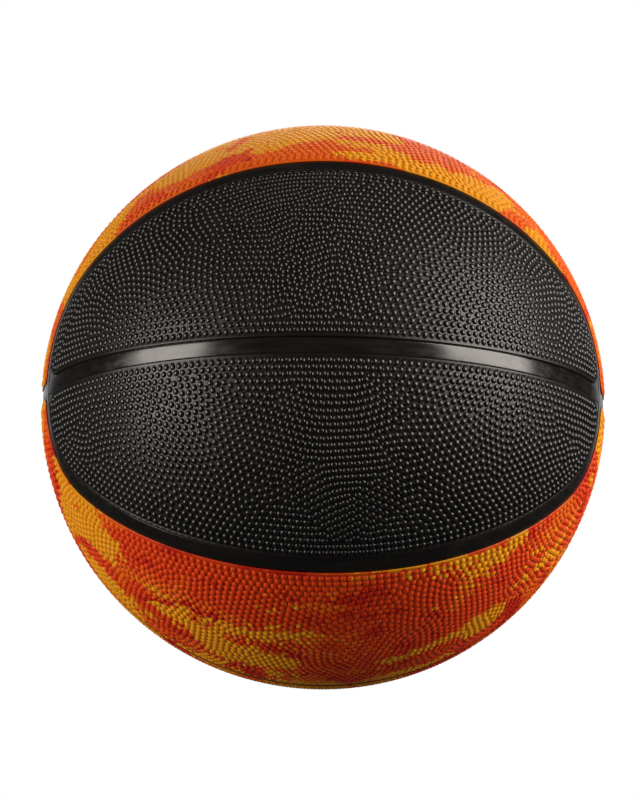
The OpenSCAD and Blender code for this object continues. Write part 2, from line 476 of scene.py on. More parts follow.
@dataclass(frozen=True)
class Pebbles:
    """Sizes of the pebbles and of their spacing, in metres.

    A fan's widest ring is in degrees, and the fillers' reach to each side is in radians. Fillers may come
    closer than the closest distance, down to shares of it, and so may all pebbles when they are chosen for
    the last time. Neighbours within so many spreads push each other apart up to the spread.
    """

    along: float = 2.92 * MM
    along_edge: float = 2.98 * MM
    between_rows: float = 2.72 * MM
    radius: float = 1.56 * MM
    edge_radius: float = 1.43 * MM
    least_radius_share: float = 0.94
    share_of_gap: float = 0.497
    valley: float = 0.28 * MM
    first_row: float = 1.5 * MM
    edge_rows: int = 2
    edge_step: float = 0.4 * MM
    row_overlap: float = 0.25
    widest_ring: float = 62.0
    closest: float = 2.42 * MM
    filler_step: float = 0.7 * MM
    filler_reach: float = 1.5
    filler_shares: tuple[float, ...] = (1.0, 0.96, 0.92, 0.88, 0.85)
    last_share: float = 0.86
    spread: float = 3.2 * MM
    neighbour_spreads: float = 1.4
    rounds: int = 26
    push: float = 0.2
    sides: int = 8
    height_jitter: float = 0.06


@dataclass
class PebbleField:
    """The pebbles of one panel: rows along its edge, fans of rings inside, and fillers between the fans.

    The fans are in the place of a panel at the front and above the centre channel.
    """

    outline: Outline
    fans: Sequence[Fan]
    seed: int
    bare: Optional[Bare] = None
    sizes: Pebbles = field(default_factory=Pebbles)

    @property
    def limit(self) -> float:
        """How deep inside the wall all pebbles but the edge's rows lie.

        Returns:
            An angle.
        """
        ball, sizes = self.outline.ball, self.sizes
        rows = sizes.edge_rows - sizes.row_overlap
        return ball.angle(ball.land + sizes.first_row + rows * sizes.between_rows)

    def lay(self) -> tuple[Vec, Vec]:
        """Lays the pebbles.

        Returns:
            Their directions, and their radii in metres.
        """
        ball, sizes = self.outline.ball, self.sizes
        draw = np.random.default_rng(self.seed)
        rows = np.concatenate([self.edge_row(n) for n in range(sizes.edge_rows)])
        candidates = self.clear(np.concatenate([rows, self.fan_points(draw)]))
        chosen = self.spaced(candidates, sizes.closest)
        fixed = int(np.sum(chosen < len(rows)))
        points = self.relaxed(candidates[chosen], fixed)
        for share in sizes.filler_shares:
            crowd = np.concatenate([points, self.filler(draw)])
            points = self.relaxed(crowd[self.spaced(crowd, share * sizes.closest)], fixed)
        points = self.relaxed(points, fixed)
        points = self.clear(points[self.spaced(points, sizes.last_share * sizes.closest)])
        nearest = np.arccos(np.clip(closeness(points).max(1), -1, 1)) * ball.crest
        largest = np.where(np.arange(len(points)) < fixed, sizes.edge_radius, sizes.radius)
        drawn = largest * draw.uniform(sizes.least_radius_share, 1.0, len(points))
        return points, np.minimum(drawn, sizes.share_of_gap * nearest)

    def clear(self, points: Vec) -> Vec:
        """The points that lie clear of the bare place, if there is one."""
        margin = self.outline.ball.angle(self.sizes.radius)
        return points if self.bare is None else points[self.bare.spares(points, margin)]

    def edge_row(self, n: int) -> Vec:
        """Pebbles spaced evenly along the edge. Each row is half a pebble further on than the one before.

        Args:
            n: The row's number, from the edge inwards.

        Returns:
            An array of unit vectors.
        """
        ball, sizes = self.outline.ball, self.sizes
        inset = ball.half_channel + ball.angle(ball.land + sizes.first_row + n * sizes.between_rows)
        loop = self.outline.loop(inset, self.outline.counts(ball.angle(sizes.edge_step)))
        closed = np.concatenate([loop, loop[:1]])
        steps = np.linalg.norm(np.diff(closed, axis=0), axis=1)
        travel = np.concatenate([[0], np.cumsum(steps)])
        count = round(travel[-1] / ball.angle(sizes.along_edge))
        at = (np.arange(count) + n / 2) % count * travel[-1] / count
        return unit(np.stack([np.interp(at, travel, closed[:, axis]) for axis in range(3)], 1))

    def fan_rings(self, fan: Fan, draw: np.random.Generator) -> Vec:
        """All rings of a fan, over and past the part of the panel that it owns.

        Args:
            fan: The fan.
            draw: Draws each ring's turn.

        Returns:
            An array of unit vectors.
        """
        ball, sizes = self.outline.ball, self.sizes
        first = unit(np.cross(fan.middle, ASKEW))
        second = np.cross(fan.middle, first)
        rings = []
        for n in range(int(math.radians(sizes.widest_ring) / ball.angle(sizes.between_rows))):
            reach = n * ball.angle(sizes.between_rows)
            count = max(1, round(2 * math.pi * math.sin(reach) / ball.angle(sizes.along)))
            t = 2 * math.pi * (np.arange(count) + draw.uniform(0, 1)) / count
            around = np.cos(t)[:, None] * first + np.sin(t)[:, None] * second
            rings.append(math.cos(reach) * fan.middle + math.sin(reach) * around)
        return np.concatenate(rings)

    def fan_points(self, draw: np.random.Generator) -> Vec:
        """The fans' pebbles, each in the part of the panel that its fan owns.

        Args:
            draw: Draws the rings' turns.

        Returns:
            An array of unit vectors.
        """
        rings = [self.fan_rings(fan, draw) for fan in self.fans]
        points = np.concatenate(rings)
        owner = np.repeat(np.arange(len(rings)), [len(ring) for ring in rings])
        past = np.stack([
            np.arccos(np.clip(points @ fan.middle, -1, 1)) - math.radians(fan.reach) for fan in self.fans
        ])
        return points[(self.outline.depth(points) >= self.limit) & (past.argmin(0) == owner)]

    def filler(self, draw: np.random.Generator) -> Vec:
        """Closely set places, of which the free ones fill the holes between fans.

        Args:
            draw: Draws their order.

        Returns:
            An array of unit vectors.
        """
        step, reach = self.outline.ball.angle(self.sizes.filler_step), self.sizes.filler_reach
        lat, lon = np.meshgrid(np.arange(-reach, reach, step), np.arange(0, math.pi / 2, step))
        grid = np.stack([np.sin(lat), -np.cos(lat) * np.cos(lon), np.cos(lat) * np.sin(lon)], -1)
        grid = grid.reshape(-1, 3)
        grid = self.clear(grid[self.outline.depth(grid) >= self.limit])
        return grid[draw.permutation(len(grid))]

    def spaced(self, points: Vec, least: float) -> Vec:
        """Which points stay when each must be clear of those before it.

        Args:
            points: Directions.
            least: The least distance in metres.

        Returns:
            The numbers of the points that stay.
        """
        limit = math.cos(self.outline.ball.angle(least))
        kept = np.zeros(len(points), bool)
        chosen = np.empty((len(points), 3))
        count = 0
        for n, point in enumerate(points):
            if count == 0 or (chosen[:count] @ point).max() < limit:
                chosen[count] = point
                count += 1
                kept[n] = True
        return np.flatnonzero(kept)

    def relaxed(self, points: Vec, fixed: int) -> Vec:
        """Pushes pebbles that crowd each other apart, where fans meet.

        Args:
            points: Directions of the pebbles.
            fixed: How many at the start stay where they are.

        Returns:
            The moved directions.
        """
        sizes, spread = self.sizes, self.outline.ball.angle(self.sizes.spread)
        one, other = np.nonzero(closeness(points) > math.cos(sizes.neighbour_spreads * spread))
        for _ in range(sizes.rounds):
            gap = points[one] - points[other]
            length = np.maximum(np.linalg.norm(gap, axis=1, keepdims=True), NO_LENGTH)
            push = gap / length * np.maximum(spread - length, 0) * sizes.push
            total = np.stack([np.bincount(one, push[:, n], len(points)) for n in range(3)], 1)
            total[:fixed] = 0
            moved = unit(points + total)
            stray = self.outline.depth(moved) < self.limit
            stray[:fixed] = False
            points = np.where(stray[:, None], points, moved)
        return points


UPPER_OVAL_FANS = (
    Fan(38, 4, 17), Fan(-30, 7, 16), Fan(58, 12, 14), Fan(-57, 12, 14), Fan(3, 4, 12),
    Fan(14, 31, 12), Fan(-13, 35, 12), Fan(-42, 36, 12), Fan(36, 38, 11), Fan(68, 30, 6), Fan(-68, 30, 6),
)
LOWER_OVAL_FANS = (
    Fan(-28.5, 2, 18), Fan(-56, 7, 16), Fan(1, -8, 24), Fan(38, 3, 17), Fan(59, 9, 14), Fan(17, 16, 6),
    Fan(5, 41, 13), Fan(-23, 46, 14), Fan(30, 42, 13), Fan(-45, 36, 9), Fan(58, 34, 8),
)
UPPER_OUTER_FANS = (
    Fan(-52, 58, 13), Fan(-27, 70, 14), Fan(-2, 56, 13), Fan(24, 68, 14), Fan(50, 57, 13), Fan(-74, 40, 10),
    Fan(73, 42, 10), Fan(4, 88, 11), Fan(-48, 84, 12), Fan(48, 86, 12), Fan(-82, 12, 6), Fan(82, 14, 6),
    Fan(-81, 70, 8), Fan(80, 72, 8),
)
LOWER_OUTER_FANS = (
    Fan(-60, 58, 13), Fan(-38, 72, 14), Fan(-14, 55, 13), Fan(10, 70, 14), Fan(33, 56, 13), Fan(58, 68, 13),
    Fan(-78, 36, 10), Fan(74, 38, 10), Fan(-12, 88, 10), Fan(34, 88, 11), Fan(-83, 14, 6), Fan(82, 12, 6),
)


class Place(Enum):
    """Where a piece lies, as the factors that carry the front upper one there."""

    FRONT_UPPER = (1.0, 1.0, 1.0)
    FRONT_LOWER = (1.0, 1.0, -1.0)
    REAR_UPPER = (-1.0, -1.0, 1.0)
    REAR_LOWER = (-1.0, -1.0, -1.0)

    @property
    def mirrored(self) -> bool:
        """Whether the factors turn a face inside out."""
        return math.prod(self.value) < 0


@dataclass(frozen=True)
class Row:
    """Points of a mesh that lie at one radius: their directions and their numbers in the mesh."""

    ways: Vec
    numbers: Vec


class MeshParts:
    """Points and faces that grow into one mesh. A crease is a loop of points whose edges stay sharp."""

    def __init__(self) -> None:
        """Starts empty."""
        self.points: list[Vec] = []
        self.faces: list[tuple[int, ...]] = []
        self.creases: list[Vec] = []
        self.total = 0

    def add(self, points: Vec) -> Vec:
        """Adds points.

        Args:
            points: Their places.

        Returns:
            Their numbers.
        """
        self.points.append(points)
        self.total += len(points)
        return np.arange(self.total - len(points), self.total)

    def row(self, ways: Vec, radius: float) -> Row:
        """Adds points at one radius."""
        return Row(ways, self.add(ways * radius))

    def strip(self, outer: Vec, inner: Vec) -> None:
        """Joins two closed loops of as many points with four-sided faces."""
        self.faces.extend(zip(outer, np.roll(outer, -1), np.roll(inner, -1), inner))

    def shell(self, loops: Sequence[Vec], radii: Sequence[float], turned: bool = False) -> list[Row]:
        """Adds closed loops and joins each to the next.

        Args:
            loops: Each loop's directions.
            radii: Each loop's radius.
            turned: Whether the faces are turned over.

        Returns:
            The loops as rows.
        """
        rows = [self.row(loop, radius) for loop, radius in zip(loops, radii)]
        for one, other in zip(rows, rows[1:]):
            pair = (other.numbers, one.numbers) if turned else (one.numbers, other.numbers)
            self.strip(*pair)
        return rows

    def fill(self, middle: Vec, loops: Sequence[Row], loose: Sequence[Row] = (),
             inward: bool = False) -> None:
        """Fills the space inside a closed loop with triangles, round the holes that other loops bound.

        Args:
            middle: Direction from which the space is flattened.
            loops: The outer loop, and the holes' loops after it.
            loose: Points inside the space, which bound nothing.
            inward: Whether the faces look at the ball's centre.
        """
        rows = [*loops, *loose]
        sizes = [len(row.numbers) for row in rows]
        ways = np.concatenate([row.ways for row in rows])
        numbers = np.concatenate([row.numbers for row in rows])
        holes = np.repeat([n if 0 < n < len(loops) else -1 for n in range(len(rows))], sizes)
        edges = []
        for start, size in zip(np.cumsum([0] + sizes).tolist(), sizes[:len(loops)]):
            edges += [(start + n, start + (n + 1) % size) for n in range(size)]

        first = unit(np.cross(SLANTED, middle))
        second = np.cross(middle, first)
        scale = 2 / (1 + ways @ middle)
        flat = np.stack([ways @ first * scale, ways @ second * scale], 1)
        result = delaunay_2d_cdt([Vector(p) for p in flat.tolist()], edges, [], 1, NO_LENGTH)
        origin = [source[0] for source in result[3]]
        for triangle in result[2]:
            a, b, c = (origin[n] for n in triangle)
            if holes[a] < 0 or not holes[a] == holes[b] == holes[c]:
                corners = (numbers[a], numbers[b], numbers[c])
                self.faces.append(corners[::-1] if inward else corners)

    def piece(self, name: str, place: Place) -> bpy.types.Object:
        """Makes the Blender object.

        Args:
            name: The piece's name.
            place: Where it lies.

        Returns:
            The object, in the scene.
        """
        mesh = bpy.data.meshes.new(name)
        faces = [tuple(int(n) for n in face) for face in self.faces]
        if place.mirrored:
            faces = [face[::-1] for face in faces]
        mesh.from_pydata((np.concatenate(self.points) * place.value).tolist(), [], faces)
        mesh.shade_smooth()
        rings = np.full(self.total, -1)
        for n, crease in enumerate(self.creases):
            rings[crease] = n
        ends = np.empty(2 * len(mesh.edges), int)
        mesh.edges.foreach_get("vertices", ends)
        sharp = (rings[ends[::2]] == rings[ends[1::2]]) & (rings[ends[::2]] >= 0)
        mesh.edges.foreach_set("use_edge_sharp", sharp)
        mesh.update()
        made = bpy.data.objects.new(name, mesh)
        bpy.context.scene.collection.objects.link(made)
        return made


@dataclass
class CoverPanel:
    """One moulded cover panel: walls, smooth land and pebbles, as one closed shell.

    Its shape is worked out in the place of a panel at the front and above the centre channel. Each ring of
    a dome is given as shares of the pebble's radius and height.
    """

    node: str
    place: Place
    outline: Outline
    material: bpy.types.Material
    slot: str
    seed: int
    middle: Vec
    layout: tuple[Vec, Vec]
    has_valve: bool = False
    pebbles: Pebbles = field(default_factory=Pebbles)
    dome_rings: tuple[tuple[float, float], ...] = ((1.0, 0.0), (0.91, 0.35), (0.54, 0.8))
    dome_seed: int = 100
    edge_round: float = 0.4 * MM
    wall_step: float = 1.1 * MM
    pad: float = 2.0 * MM
    valve_sides: int = 48
    inner_step: int = 5
    inner_reach: int = 85
    inner_clear: float = 3 * MM
    valve_clear: float = 6 * MM

    @property
    def valve(self) -> Vec:
        """Direction of the valve."""
        return direction(0, self.outline.ball.valve_angle)

    def valve_ring(self, radius: float) -> Vec:
        """A ring about the valve.

        Args:
            radius: Its radius in metres.

        Returns:
            An array of unit vectors.
        """
        side = np.array([1.0, 0, 0])
        up = np.cross(side, self.valve)
        reach = self.outline.ball.angle(radius)
        t = np.linspace(0, 2 * math.pi, self.valve_sides, endpoint=False)[:, None]
        return math.cos(reach) * self.valve + math.sin(reach) * (np.cos(t) * side + np.sin(t) * up)

    def wall_profile(self, start: float) -> list[tuple[float, float]]:
        """A wall and its rounded top edge.

        Args:
            start: The wall's place across the cover.

        Returns:
            Radii with places across the cover, from the inner face to the land.
        """
        ball = self.outline.ball
        bend = self.edge_round * (1 - math.sqrt(0.5))
        return [
            (ball.root_r, start), (ball.land_r - self.edge_round, start),
            (ball.land_r - bend, start + bend), (ball.land_r, start + self.edge_round),
        ]

    def walls(self, parts: MeshParts) -> list[Row]:
        """Adds the wall, its rounded top edge and the land.

        Args:
            parts: The mesh so far.

        Returns:
            Loops from the inner face's edge to the pebbled ground's edge.
        """
        ball = self.outline.ball
        counts = self.outline.counts(ball.angle(self.wall_step))
        profile = [
            *self.wall_profile(0.0), (ball.land_r, ball.land - 2 * self.edge_round),
            (ball.land_r - self.pebbles.valley / 2, ball.land),
        ]
        loops = [self.outline.loop(ball.half_channel + ball.angle(across), counts) for _, across in profile]
        return parts.shell(loops, [radius for radius, _ in profile])

    def valve_seat(self, parts: MeshParts) -> list[Row]:
        """Adds the hole of the valve and the smooth pad round it.

        Args:
            parts: The mesh so far.

        Returns:
            Loops from the hole's inner edge to the pad's outer edge.
        """
        ball = self.outline.ball
        profile = [*self.wall_profile(ball.plug_head), (ball.land_r, ball.plug_head + self.pad)]
        rings = [self.valve_ring(across) for _, across in profile]
        return parts.shell(rings, [radius for radius, _ in profile], turned=True)

    def domes(self, parts: MeshParts) -> list[Row]:
        """Adds the pebbles' domes.

        Args:
            parts: The mesh so far.

        Returns:
            The domes' feet.
        """
        ball, sides = self.outline.ball, self.pebbles.sides
        points, radii = self.layout
        draw = np.random.default_rng(self.seed + self.dome_seed)
        first = unit(np.cross(points, SLANTED))
        second = np.cross(points, first)
        start = draw.uniform(0, 2 * math.pi, len(points))
        t = start[:, None] + np.arange(sides) * 2 * math.pi / sides
        around = np.cos(t)[..., None] * first[:, None] + np.sin(t)[..., None] * second[:, None]
        ground = ball.land_r - self.pebbles.valley
        heights = (ball.crest - ground) * (1 - draw.uniform(0, self.pebbles.height_jitter, len(points)))
        ways, rings = [], []
        for share, height_share in self.dome_rings:
            reach = (radii * share / ball.crest)[:, None, None]
            ways.append(np.cos(reach) * points[:, None] + np.sin(reach) * around)
            level = (ground + heights * height_share)[:, None, None]
            rings.append(parts.add((ways[-1] * level).reshape(-1, 3)).reshape(-1, sides))
        tops = parts.add(points * (ground + heights)[:, None])
        parts.creases.extend(rings[0])
        for low, high in zip(rings, rings[1:]):
            corners = np.stack([low, np.roll(low, -1, 1), np.roll(high, -1, 1), high], -1)
            parts.faces.extend(map(tuple, corners.reshape(-1, 4)))
        caps = np.stack([rings[-1], np.roll(rings[-1], -1, 1), np.repeat(tops[:, None], sides, 1)], -1)
        parts.faces.extend(map(tuple, caps.reshape(-1, 3)))
        return [Row(foot, numbers) for foot, numbers in zip(ways[0], rings[0])]

    def inner_points(self) -> Vec:
        """Directions spread over the inner face.

        Returns:
            An array of unit vectors, clear of the face's edges.
        """
        grid = np.array([
            direction(lat, lon)
            for lat in range(-self.inner_reach, self.inner_reach + 1, self.inner_step)
            for lon in range(0, 91, self.inner_step)
        ])
        clear = self.outline.depth(grid) > self.outline.ball.angle(self.inner_clear)
        if self.has_valve:
            clear &= grid @ self.valve < math.cos(self.outline.ball.angle(self.valve_clear))
        return grid[clear]

    def build(self) -> bpy.types.Object:
        """Builds and dresses the panel.

        Returns:
            The piece, riding on the ball and standing for its node.
        """
        parts = MeshParts()
        walls = self.walls(parts)
        seat = self.valve_seat(parts) if self.has_valve else []
        feet = self.domes(parts)
        parts.fill(self.middle, [walls[-1], *seat[-1:], *feet])
        inside = parts.row(self.inner_points(), self.outline.ball.root_r)
        parts.fill(self.middle, [walls[0], *seat[:1]], [inside], inward=True)

        piece = parts.piece(self.node + "_skin", self.place)
        piece.data.materials.append(self.material)
        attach(piece, "root")
        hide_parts(self.node)
        log.info("%s: %d pebbles, %d faces", piece.name, len(feet), len(piece.data.polygons))
        return piece


class Signal:
    """One output of a material's nodes, for use in expressions. Numbers are worked out by Math nodes."""

    def __init__(self, shader: "Shader", socket: Optional[bpy.types.NodeSocket]) -> None:
        """Wraps a socket of a shader's tree."""
        self.shader = shader
        self.socket = socket

    def math(self, operation: str, *values: "Value") -> "Signal":
        """Puts values through a Math node."""
        return self.shader.node("ShaderNodeMath", {"operation": operation}, dict(enumerate(values)))

    def __add__(self, other: "Value") -> "Signal":
        """Adds."""
        return self.math("ADD", self, other)

    __radd__ = __add__

    def __sub__(self, other: "Value") -> "Signal":
        """Takes away."""
        return self.math("SUBTRACT", self, other)

    def __rsub__(self, other: "Value") -> "Signal":
        """Is taken away from a number."""
        return self.math("SUBTRACT", other, self)

    def __mul__(self, other: "Value") -> "Signal":
        """Multiplies."""
        return self.math("MULTIPLY", self, other)

    __rmul__ = __mul__

    def ramp(self, low: float, high: float) -> "Signal":
        """Rises smoothly from 0 at low to 1 at high."""
        ends = {"Value": self, "From Min": low, "From Max": high}
        return self.shader.node("ShaderNodeMapRange", {"interpolation_type": "SMOOTHSTEP"}, ends)


Value = Union[Signal, float]
Setting = Union[Signal, float, tuple, str]


class Shader:
    """The node tree of a material or a world."""

    def __init__(self, owner: Union[bpy.types.Material, bpy.types.World]) -> None:
        """Empties the tree of a material or a world.

        Args:
            owner: The material or world.
        """
        owner.use_nodes = True
        self.owner = owner
        self.tree = owner.node_tree
        self.tree.nodes.clear()

    def node(self, kind: str, settings: dict[str, object], values: dict[Union[int, str], Setting],
             output: Union[int, str] = 0) -> Signal:
        """Adds one node.

        Args:
            kind: The node's type.
            settings: What is set on the node first.
            values: A value or a link for each socket.
            output: Which output to give back.

        Returns:
            The node's output, which is empty for the last node of a tree.
        """
        made = self.tree.nodes.new(kind)
        for name, setting in settings.items():
            setattr(made, name, setting)
        for name, value in values.items():
            if isinstance(value, Signal):
                self.tree.links.new(value.socket, made.inputs[name])
            else:
                made.inputs[name].default_value = value
        return Signal(self, made.outputs[output] if len(made.outputs) else None)

    def mix(self, share: Value, first: Setting, second: Setting) -> Signal:
        """Mixes two colours."""
        colours = [c if isinstance(c, Signal) else (*c[:3], 1.0) for c in (first, second)]
        return self.node("ShaderNodeMix", {"data_type": "RGBA"}, {0: share, 6: colours[0], 7: colours[1]}, 2)

    def vector(self, operation: str, *values: Setting) -> Signal:
        """Puts vectors through a Vector Math node."""
        return self.node("ShaderNodeVectorMath", {"operation": operation}, dict(enumerate(values)))

    def part(self, vector: Signal, axis: str) -> Signal:
        """One part of a vector: X, Y or Z."""
        return self.node("ShaderNodeSeparateXYZ", {}, {0: vector}, axis)

    def place(self) -> Signal:
        """The place on the piece, in metres from the ball's centre."""
        return self.node("ShaderNodeTexCoord", {}, {}, "Object")

    def scaled(self, vector: Signal, factor: Value) -> Signal:
        """A vector at another length."""
        return self.node("ShaderNodeVectorMath", {"operation": "SCALE"}, {0: vector, "Scale": factor})

    def height(self, place: Signal, low: float, high: float) -> Signal:
        """How high a place lies over the ball's centre, from 0 at low to 1 at high."""
        length = self.node("ShaderNodeVectorMath", {"operation": "LENGTH"}, {0: place}, "Value")
        return length.ramp(low, high)

    def noise(self, place: Signal, size: float, detail: float = 2.0, roughness: float = 0.5,
              distortion: float = 0.0) -> Signal:
        """Noise.

        Args:
            place: The place that it depends on.
            size: About how wide its patches are, in metres.
            detail: How many finer layers it has.
            roughness: How strong the finer layers are.
            distortion: How far its patches are bent.

        Returns:
            A value from 0 to 1.
        """
        return self.node("ShaderNodeTexNoise", {}, {
            "Vector": place, "Scale": 1 / size, "Detail": detail, "Roughness": roughness,
            "Distortion": distortion,
        })

    def bump(self, height: Signal, distance: float, strength: float) -> Signal:
        """A normal that a height field bends."""
        values = {"Height": height, "Distance": distance, "Strength": strength}
        return self.node("ShaderNodeBump", {}, values)

    def surface(self, colour: Signal, roughness: Value, normal: Signal,
                gloss: float = 0.5) -> bpy.types.Material:
        """Ends the tree in a Principled shader.

        Args:
            colour: The base colour.
            roughness: The roughness.
            normal: The normal.
            gloss: The specular level.

        Returns:
            The material.
        """
        body = self.node("ShaderNodeBsdfPrincipled", {}, {
            "Base Color": colour, "Roughness": roughness, "Specular IOR Level": gloss, "Normal": normal,
        })
        self.node("ShaderNodeOutputMaterial", {}, {"Surface": body})
        return self.owner


@dataclass(frozen=True)
class PebbledRubber:
    """Black moulded rubber: glossier tips over duller ground, whose colour is darker as painted shade
    between the pebbles.
    """

    name: str = "black_pebbled_rubber"
    tip: Colour = srgb(24, 22, 21)
    worn: Colour = srgb(31, 29, 27)
    # painted shade: the darker colour of the ground between the pebbles, where shade falls
    ground: Colour = srgb(12, 11, 11)
    ground_top: float = 0.2 * MM
    tip_bottom: float = 0.15 * MM
    mottle: float = 9 * MM
    grain: float = 0.25 * MM
    grain_depth: float = 0.012 * MM
    grain_strength: float = 0.5
    roughness: float = 0.24
    ground_roughness: float = 0.15
    worn_roughness: float = 0.05
    gloss: float = 0.65
    ball: Ball = field(default_factory=Ball)

    def make(self) -> bpy.types.Material:
        """Builds the material.

        Returns:
            The material.
        """
        shader = Shader(bpy.data.materials.new(self.name))
        place = shader.place()
        height = shader.height(place, self.ball.land_r - self.ground_top, self.ball.crest - self.tip_bottom)
        mottle = shader.noise(place, self.mottle, detail=3.0).ramp(low=0.3, high=0.7)
        # the ground between the pebbles is painted darker than the tips: painted shade in the valleys
        colour = shader.mix(height, self.ground, shader.mix(mottle, self.tip, self.worn))
        rough = self.roughness + self.ground_roughness * (1 - height) + self.worn_roughness * mottle
        normal = shader.bump(shader.noise(place, self.grain), self.grain_depth, self.grain_strength)
        return shader.surface(colour, rough, normal, self.gloss)


@dataclass(frozen=True)
class Patches:
    """One colour of a print. It covers the colours before it where its noise is above a level.

    Its patches' size is a share of the widest ones'. Height on the ball adds the rise to the noise, and the
    chance names the part of each cell's random colour that scatters the edges.
    """

    colour: Colour
    start: tuple[float, float, float]
    share: float
    detail: float
    level: float
    rise: float
    chance: str


@dataclass(frozen=True)
class CamouflagePrint:
    """Pebbled rubber under a generic camouflage print: warm patches whose edges break up by the pebble, with
    painted shade in a darker red on the ground between the pebbles.
    """

    name: str = "camouflage_pebbled_rubber"
    flame: Colour = srgb(242, 72, 5)
    colours: tuple[Patches, ...] = (
        Patches(
            srgb(250, 106, 4), start=(0.31, 0.17, 0.23), share=0.75, detail=2.5,
            level=0.545, rise=0.16, chance="Y",
        ),
        Patches(
            srgb(216, 40, 6), start=(0.71, 0.27, 0.53), share=0.6, detail=2.5,
            level=0.57, rise=-0.1, chance="X",
        ),
        Patches(
            srgb(255, 172, 6), start=(0.0, 0.0, 0.0), share=1.0, detail=3.0,
            level=0.54, rise=0.05, chance="X",
        ),
    )
    # painted shade: the dark red that the ground between the pebbles takes
    under: Colour = srgb(150, 20, 2)
    valley_shade_share: float = 0.25
    wall: Colour = srgb(20, 19, 18)
    wall_top: tuple[float, float] = (-0.5 * MM, -0.35 * MM)
    blend: float = 0.01
    patch: float = 31 * MM
    noise_roughness: float = 0.55
    noise_distortion: float = 0.6
    tear: float = 2.1 * MM
    tear_soft: float = 0.65
    scatter: float = 0.07
    calm: float = 0.6
    rise_between: tuple[float, float] = (-40 * MM, 20 * MM)
    stretch: tuple[float, float, float] = (0.5, 1.0, 1.1)
    shift: tuple[float, float, float] = (0.75, 0.49, 0.93)
    ground_top: float = 0.25 * MM
    tip_bottom: float = 0.1 * MM
    grain: float = 0.25 * MM
    grain_depth: float = 0.01 * MM
    grain_strength: float = 0.5
    roughness: float = 0.34
    ground_roughness: float = 0.14
    gloss: float = 0.22
    ball: Ball = field(default_factory=Ball)

    def print_colour(self, shader: Shader, place: Signal) -> Setting:
        """The print.

        Args:
            shader: The material's tree.
            place: The place on the piece.

        Returns:
            Its colour there.
        """
        flat = shader.scaled(shader.vector("NORMALIZE", place), self.ball.crest)
        torn = {"Vector": flat, "Scale": 1 / self.tear, "Randomness": 1.0}
        cell = shader.node("ShaderNodeTexVoronoi", {}, torn, "Position")
        chance = shader.node("ShaderNodeTexVoronoi", {}, torn, "Color")
        level = shader.part(place, "Z").ramp(*self.rise_between)
        scatter = self.scatter * (1 - self.calm * level)
        even = shader.scaled(shader.vector("SUBTRACT", flat, cell), self.tear_soft * level)
        stretched = shader.vector("MULTIPLY", shader.vector("ADD", cell, even), self.stretch)
        spot = shader.vector("ADD", stretched, self.shift)
        colour: Setting = self.flame
        for patches in self.colours:
            stray = scatter * (shader.part(chance, patches.chance) - 0.5)
            noise = shader.noise(
                shader.vector("ADD", spot, patches.start), self.patch * patches.share, patches.detail,
                self.noise_roughness, self.noise_distortion,
            )
            cover = (noise + stray + patches.rise * level).ramp(patches.level, patches.level + self.blend)
            colour = shader.mix(cover, colour, patches.colour)
        return colour

    def make(self) -> bpy.types.Material:
        """Builds the material.

        Returns:
            The material.
        """
        shader = Shader(bpy.data.materials.new(self.name))
        place = shader.place()
        height = shader.height(place, self.ball.land_r - self.ground_top, self.ball.crest - self.tip_bottom)
        print_and_shade = self.print_colour(shader, place)
        # painted shade: the print is mixed towards a darker red on the ground between the pebbles
        print_and_shade = shader.mix(1 - self.valley_shade_share + self.valley_shade_share * height, self.under, print_and_shade)
        above_wall = shader.height(place, *(self.ball.land_r + lift for lift in self.wall_top))
        rough = self.roughness + self.ground_roughness * (1 - height)
        normal = shader.bump(shader.noise(place, self.grain), self.grain_depth, self.grain_strength)
        return shader.surface(shader.mix(above_wall, self.wall, print_and_shade), rough, normal, self.gloss)


@dataclass(frozen=True)
class SmoothRubber:
    """Smooth black rubber of the channels, with the faint streaks that moulding and handling leave."""

    name: str = "black_channel_rubber"
    colour: Colour = srgb(20, 19, 18)
    dust: Colour = srgb(52, 49, 46)
    dust_share: float = 0.22
    streak: float = 6 * MM
    squeeze: tuple[float, float, float] = (0.18, 1.0, 1.6)
    grain: float = 0.8 * MM
    grain_share: float = 0.15
    depth: float = 0.06 * MM
    strength: float = 0.6
    roughness: float = 0.16
    streak_roughness: float = 0.12
    grain_roughness: float = 0.05
    gloss: float = 0.7

    def make(self) -> bpy.types.Material:
        """Builds the material.

        Returns:
            The material.
        """
        shader = Shader(bpy.data.materials.new(self.name))
        place = shader.place()
        squeezed = shader.vector("MULTIPLY", place, self.squeeze)
        streaks = shader.noise(squeezed, self.streak, detail=4.0, roughness=0.6)
        grain = shader.noise(place, self.grain, detail=3.0)
        soft = streaks.ramp(low=0.35, high=0.75)
        colour = shader.mix(self.dust_share * soft, self.colour, self.dust)
        rough = self.roughness + self.streak_roughness * soft + self.grain_roughness * grain
        normal = shader.bump(streaks + self.grain_share * grain, self.depth, self.strength)
        return shader.surface(colour, rough, normal, self.gloss)


@dataclass(frozen=True)
class PlainRubber:
    """Rubber of the inner layers and the valve, with a faint mould grain."""

    name: str
    colour: Colour
    roughness: float
    grain: float = 1.2 * MM
    grain_share: float = 0.4
    grain_roughness: float = 0.12
    lightening: float = 1.6
    least: float = 0.01
    depth: float = 0.05 * MM
    strength: float = 0.4

    def make(self) -> bpy.types.Material:
        """Builds the material.

        Returns:
            The material.
        """
        shader = Shader(bpy.data.materials.new(self.name))
        grain = shader.noise(shader.place(), self.grain, detail=4.0)
        lighter = tuple(min(1.0, self.lightening * part + self.least) for part in self.colour)
        colour = shader.mix(self.grain_share * grain, self.colour, lighter)
        normal = shader.bump(grain, self.depth, self.strength)
        return shader.surface(colour, self.roughness + self.grain_roughness * grain, normal)


